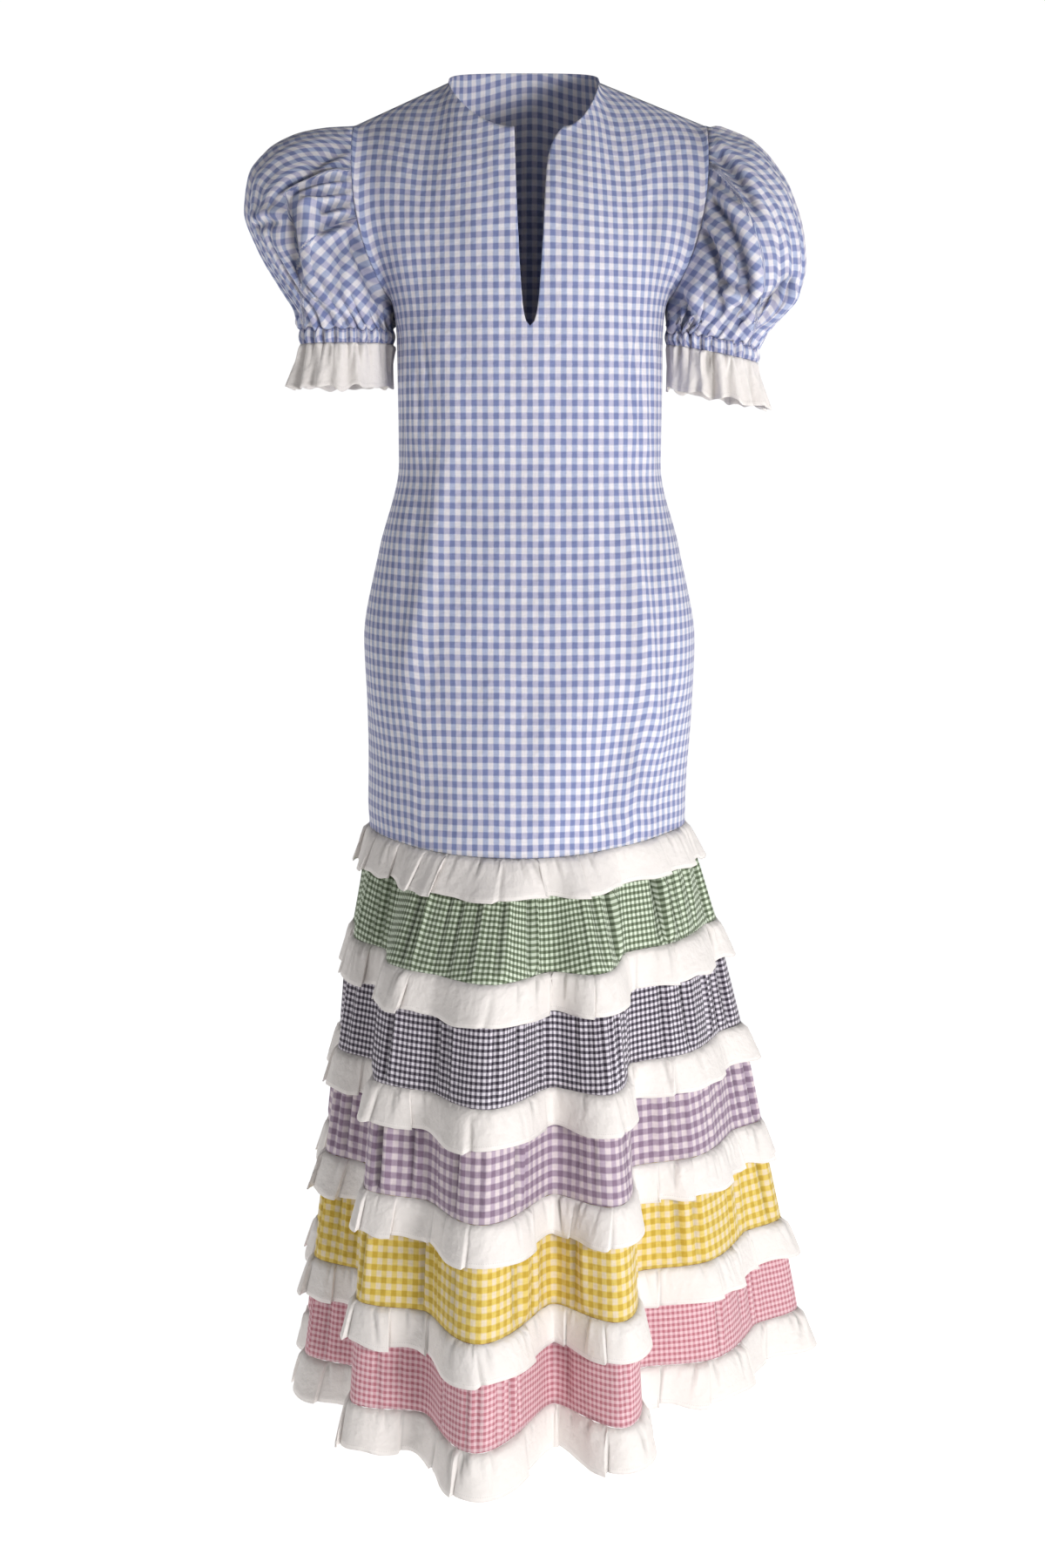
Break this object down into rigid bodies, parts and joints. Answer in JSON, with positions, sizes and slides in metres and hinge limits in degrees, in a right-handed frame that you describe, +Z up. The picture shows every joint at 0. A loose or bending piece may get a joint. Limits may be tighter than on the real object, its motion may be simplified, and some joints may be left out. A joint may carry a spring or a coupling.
{
  "type": "tiered maxi dress",
  "caption": "Long hollow dress in its worn form: gingham body with a round slit neck, puff sleeves with frilled cuffs, and a flared skirt of gingham bands under white ruffles.",
  "frame": {"origin": "inside the neck opening, midway between the tops of the two shoulder seams and level with them, where the wearer's neck is", "axes": "+Z up, -Y towards the front of the dress, +X towards the wearer's left side"},
  "size_m": [0.6129, 0.6486, 1.3845],
  "materials": {
    "blue_gingham": "plain-woven cotton in blue and white quarter-inch checks",
    "green_gingham": "plain-woven cotton in green and white eighth-inch checks",
    "navy_gingham": "plain-woven cotton in navy and white eighth-inch checks",
    "lilac_gingham": "plain-woven cotton in lilac and white quarter-inch checks",
    "yellow_gingham": "plain-woven cotton in yellow and white quarter-inch checks",
    "pink_gingham": "plain-woven cotton in pink and white eighth-inch checks",
    "white_cotton": "plain white cotton poplin, matt"
  },
  "bodies": {
    "root": {"front_body": "blue_gingham", "back_body": "blue_gingham", "sleeve_left": "blue_gingham", "sleeve_right": "blue_gingham", "cuff_band_left": "blue_gingham", "cuff_band_right": "blue_gingham", "cuff_ruffle_left": "white_cotton", "cuff_ruffle_right": "white_cotton", "ruffle_1": "white_cotton", "green_band": "green_gingham", "ruffle_2": "white_cotton", "navy_band": "navy_gingham", "ruffle_3": "white_cotton", "lilac_band": "lilac_gingham", "ruffle_4": "white_cotton", "yellow_band": "yellow_gingham", "ruffle_5": "white_cotton", "pink_band": "pink_gingham", "ruffle_6": "white_cotton"}
  },
  "joints": []
}
